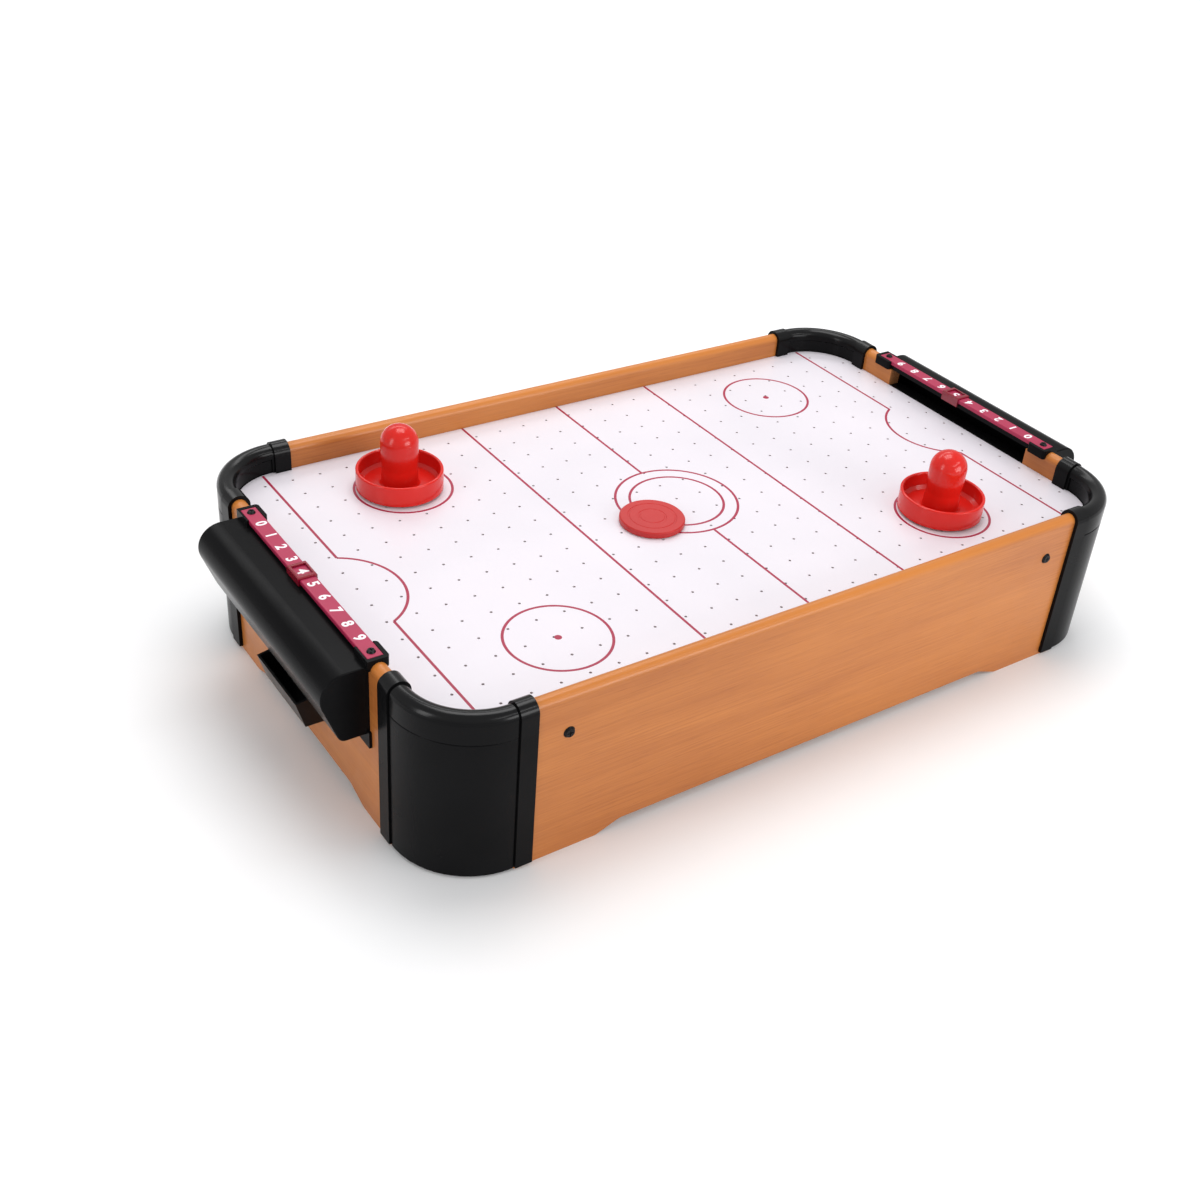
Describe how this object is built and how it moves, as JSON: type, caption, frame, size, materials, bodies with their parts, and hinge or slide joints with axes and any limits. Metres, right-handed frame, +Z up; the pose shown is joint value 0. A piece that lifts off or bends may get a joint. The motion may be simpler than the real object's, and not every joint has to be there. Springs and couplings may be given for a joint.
{
  "type": "tabletop air hockey table",
  "caption": "Tabletop air hockey table with perforated field, goal hoods with score sliders, two mallets, puck, and a battery blower underneath.",
  "frame": {"origin": "on the ground, below the middle of the playing field", "axes": "+X along the table towards the right goal, +Y towards the far long side, +Z up"},
  "size_m": [0.6744, 0.3736, 0.1601],
  "materials": {
    "board_foil": "printed wood foil, satin",
    "corner_black": "semi-gloss black",
    "hood_black": "semi-gloss black",
    "screw_black": "black",
    "rail_crimson": "crimson, satin, with white numbers",
    "slider_crimson": "crimson, glossy",
    "batten_pine": "raw",
    "felt_black": "matt felt",
    "mallet_red": "glossy",
    "puck_red": "satin",
    "field_white": "printed, satin",
    "hardboard": "raw hardboard",
    "blower_black": "matt",
    "impeller_white": "matt",
    "motor_steel": "satin",
    "shaft_steel": "polished",
    "cell_jacket": "gloss film",
    "contact_steel": "nickel",
    "rocker_red": "glossy",
    "wire_red": "insulation",
    "wire_black": "insulation"
  },
  "bodies": {
    "table": {"batten_far": "batten_pine", "batten_left": "batten_pine", "batten_near": "batten_pine", "batten_right": "batten_pine", "batteries": "cell_jacket", "battery_box": "blower_black", "battery_box_screws": "screw_black", "battery_contacts": "contact_steel", "corner_cap_far_left": "corner_black", "corner_cap_far_right": "corner_black", "corner_cap_near_left": "corner_black", "corner_cap_near_right": "corner_black", "corner_post_far_left": "corner_black", "corner_post_far_right": "corner_black", "corner_post_near_left": "corner_black", "corner_post_near_right": "corner_black", "corner_post_screws": "screw_black", "cross_batten_left": "batten_pine", "cross_batten_right": "batten_pine", "end_board_left": "board_foil", "end_board_right": "board_foil", "fan_grille": "blower_black", "fan_grille_screws": "screw_black", "fan_housing": "blower_black", "fan_housing_screws": "screw_black", "fan_motor": "motor_steel", "goal_hood_left": "hood_black", "goal_hood_right": "hood_black", "goal_screws_left": "screw_black", "goal_screws_right": "screw_black", "goal_tray_left": "hood_black", "goal_tray_right": "hood_black", "playfield": "field_white", "plenum_floor": "hardboard", "plenum_floor_screws": "screw_black", "score_rail_left": "rail_crimson", "score_rail_right": "rail_crimson", "score_rail_screws_left": "screw_black", "score_rail_screws_right": "screw_black", "side_board_far": "board_foil", "side_board_near": "board_foil", "side_board_screws": "screw_black", "switch_body": "blower_black", "switch_screws": "screw_black", "wire_battery_to_switch": "wire_red", "wire_motor_to_battery": "wire_black", "wire_switch_to_motor": "wire_red"},
    "score_marker_left": {"score_slider_left": "slider_crimson"},
    "score_marker_right": {"score_slider_right": "slider_crimson"},
    "striker_left": {"mallet_left": "mallet_red", "mallet_felt_left": "felt_black"},
    "striker_right": {"mallet_right": "mallet_red", "mallet_felt_right": "felt_black"},
    "loose_puck": {"puck": "puck_red"},
    "impeller": {"fan_impeller": "impeller_white", "motor_shaft": "shaft_steel"},
    "power_rocker": {"switch_rocker": "rocker_red"},
    "cell_cover": {"battery_door": "blower_black"}
  },
  "joints": [
    {"name": "score_slide_left", "type": "slide", "parent": "table", "child": "score_marker_left", "axis": [0, 1, 0], "range_m": [-0.0819, 0.065]},
    {"name": "score_slide_right", "type": "slide", "parent": "table", "child": "score_marker_right", "axis": [0, 1, 0], "range_m": [-0.0819, 0.065]},
    {"name": "mallet_left_travel", "type": "slide", "parent": "table", "child": "striker_left", "axis": [1, 0, 0], "range_m": [-0.0809, 0.4341]},
    {"name": "mallet_right_travel", "type": "slide", "parent": "table", "child": "striker_right", "axis": [1, 0, 0], "range_m": [-0.4315, 0.0835]},
    {"name": "puck_travel", "type": "slide", "parent": "table", "child": "loose_puck", "axis": [1, 0, 0], "range_m": [-0.2731, 0.3439]},
    {"name": "impeller_spin", "type": "hinge", "parent": "table", "child": "impeller", "pos_m": [0, 0, 0.0755], "axis": [0, 0, 1], "continuous": true},
    {"name": "power_rocker_tilt", "type": "hinge", "parent": "table", "child": "power_rocker", "pos_m": [0.118, 0.04, 0.0652], "axis": [0, 1, 0], "range_deg": [0, 18]},
    {"name": "battery_door_slide", "type": "slide", "parent": "table", "child": "cell_cover", "axis": [0, -1, 0], "range_m": [0, 0.064]}
  ]
}
